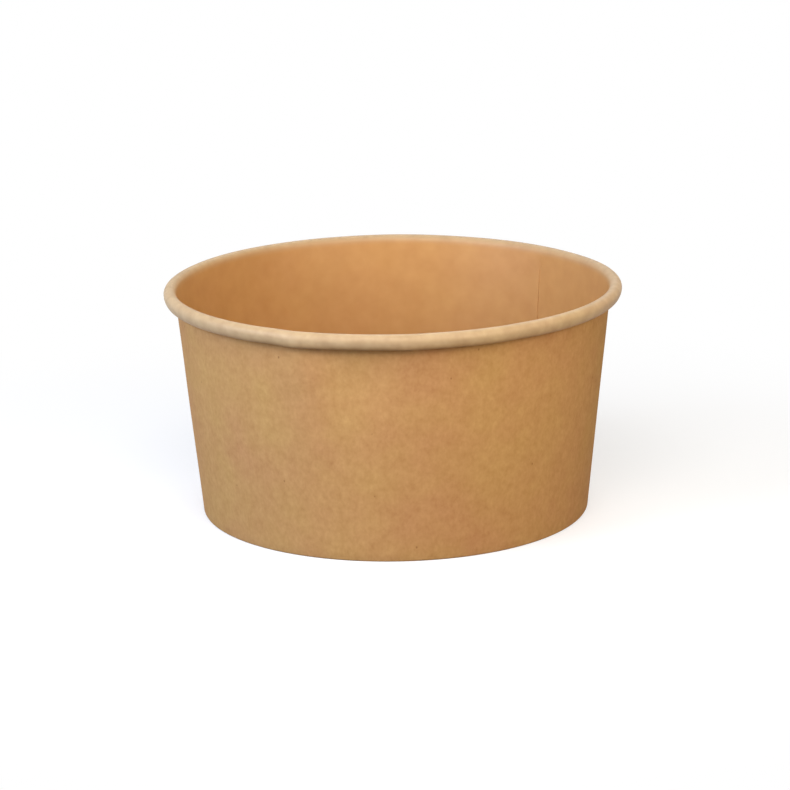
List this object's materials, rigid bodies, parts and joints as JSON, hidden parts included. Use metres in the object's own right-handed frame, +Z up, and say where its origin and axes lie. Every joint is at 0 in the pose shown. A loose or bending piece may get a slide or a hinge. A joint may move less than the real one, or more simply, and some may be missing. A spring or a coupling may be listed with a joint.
{
  "type": "paper salad bowl",
  "caption": "Round kraft paperboard salad bowl: tapered wall with a rolled rim and side seam, hemmed round a recessed flat base disc.",
  "frame": {"origin": "centre of the standing edge, on the plane that the bowl stands on", "axes": "+Z up along the bowl's axis, -Y to the front, and the side seam at 47 degrees from +X towards +Y"},
  "size_m": [0.15, 0.15, 0.0757],
  "materials": {
    "kraft_wall_board": "matte",
    "kraft_base_board": "matte"
  },
  "bodies": {
    "root": {"side_wall": "kraft_wall_board", "base_disc": "kraft_base_board"}
  },
  "joints": []
}
